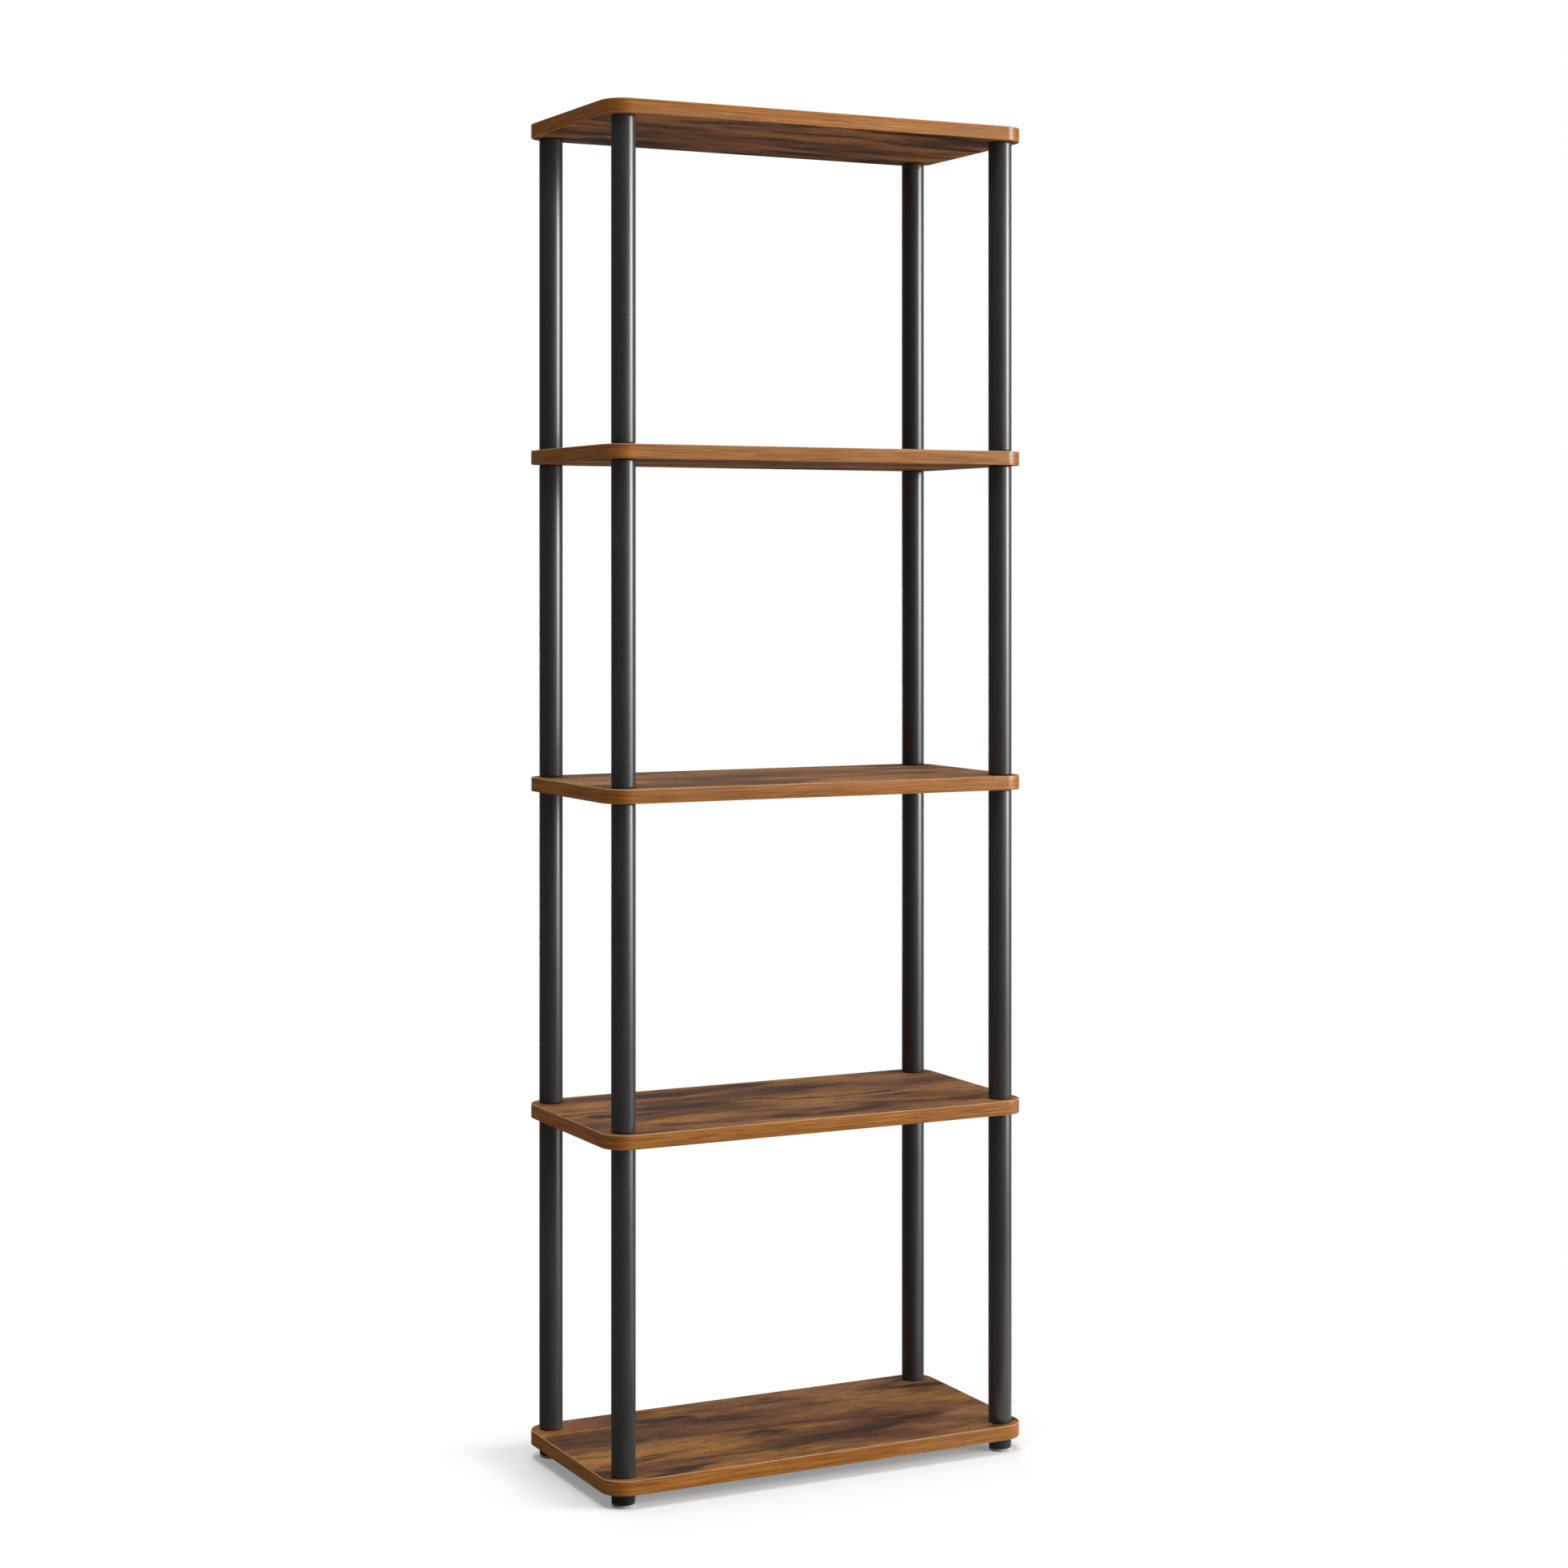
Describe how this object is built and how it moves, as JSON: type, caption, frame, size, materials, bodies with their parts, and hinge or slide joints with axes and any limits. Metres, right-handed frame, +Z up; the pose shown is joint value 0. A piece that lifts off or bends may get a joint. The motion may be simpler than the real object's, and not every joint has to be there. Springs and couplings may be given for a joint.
{
  "type": "bookshelf",
  "caption": "Freestanding open bookshelf: rustic-brown boards with rounded corners, clamped between black round tube posts that screw together through them, on short moulded feet.",
  "frame": {"origin": "on the floor, at the middle of the footprint", "axes": "+X along the long side, +Y from front to back, +Z up"},
  "size_m": [0.49, 0.235, 1.4319],
  "materials": {
    "printed_board": "printed rustic-brown wood grain, satin",
    "edge_band": "printed wood-grain strip, satin",
    "coated_tube": "black satin powder coat",
    "plated_steel": "zinc plated",
    "blackened_steel": "black, satin",
    "moulded_foot": "black moulded plastic",
    "grey_pad": "pale grey, slightly translucent"
  },
  "bodies": {
    "root": {"shelf_board_1": "printed_board", "shelf_board_2": "printed_board", "shelf_board_3": "printed_board", "shelf_board_4": "printed_board", "shelf_board_5": "printed_board", "edge_band_1": "edge_band", "edge_band_2": "edge_band", "edge_band_3": "edge_band", "edge_band_4": "edge_band", "edge_band_5": "edge_band", "post_tube_1_front_left": "coated_tube", "post_tube_2_front_left": "coated_tube", "post_tube_3_front_left": "coated_tube", "post_tube_4_front_left": "coated_tube", "post_tube_1_front_right": "coated_tube", "post_tube_2_front_right": "coated_tube", "post_tube_3_front_right": "coated_tube", "post_tube_4_front_right": "coated_tube", "post_tube_1_back_left": "coated_tube", "post_tube_2_back_left": "coated_tube", "post_tube_3_back_left": "coated_tube", "post_tube_4_back_left": "coated_tube", "post_tube_1_back_right": "coated_tube", "post_tube_2_back_right": "coated_tube", "post_tube_3_back_right": "coated_tube", "post_tube_4_back_right": "coated_tube", "connecting_stud_2_front_left": "plated_steel", "connecting_stud_3_front_left": "plated_steel", "connecting_stud_4_front_left": "plated_steel", "connecting_stud_2_front_right": "plated_steel", "connecting_stud_3_front_right": "plated_steel", "connecting_stud_4_front_right": "plated_steel", "connecting_stud_2_back_left": "plated_steel", "connecting_stud_3_back_left": "plated_steel", "connecting_stud_4_back_left": "plated_steel", "connecting_stud_2_back_right": "plated_steel", "connecting_stud_3_back_right": "plated_steel", "connecting_stud_4_back_right": "plated_steel", "top_bolt_front_left": "blackened_steel", "top_bolt_front_right": "blackened_steel", "top_bolt_back_left": "blackened_steel", "top_bolt_back_right": "blackened_steel", "foot_front_left": "moulded_foot", "foot_front_right": "moulded_foot", "foot_back_left": "moulded_foot", "foot_back_right": "moulded_foot", "foot_bolt_front_left": "plated_steel", "foot_bolt_front_right": "plated_steel", "foot_bolt_back_left": "plated_steel", "foot_bolt_back_right": "plated_steel", "foot_pad_front_left": "grey_pad", "foot_pad_front_right": "grey_pad", "foot_pad_back_left": "grey_pad", "foot_pad_back_right": "grey_pad"}
  },
  "joints": []
}
